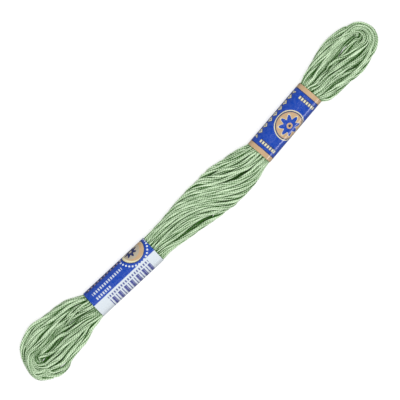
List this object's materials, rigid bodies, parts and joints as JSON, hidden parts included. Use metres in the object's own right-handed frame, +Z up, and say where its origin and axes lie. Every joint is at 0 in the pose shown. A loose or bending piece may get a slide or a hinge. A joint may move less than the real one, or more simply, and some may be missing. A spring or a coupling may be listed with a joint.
{
  "type": "skein of embroidery floss",
  "caption": "Long twisted hank of stranded cotton floss with a loop at each end, held by paper band sleeves.",
  "frame": {"origin": "centre of the footprint, on the surface that the skein lies on", "axes": "+X along the skein from its lower loop to its upper loop, +Y across it towards the narrow leg of the upper loop, +Z up"},
  "size_m": [0.1702, 0.0206, 0.01],
  "materials": {
    "cotton_floss": "mercerised stranded cotton, soft sheen along the thread",
    "printed_paper": "coated paper printed blue, with tan borders and a white panel"
  },
  "bodies": {
    "root": {"floss_skein": "cotton_floss", "lower_sleeve": "printed_paper", "upper_sleeve": "printed_paper"}
  },
  "joints": []
}
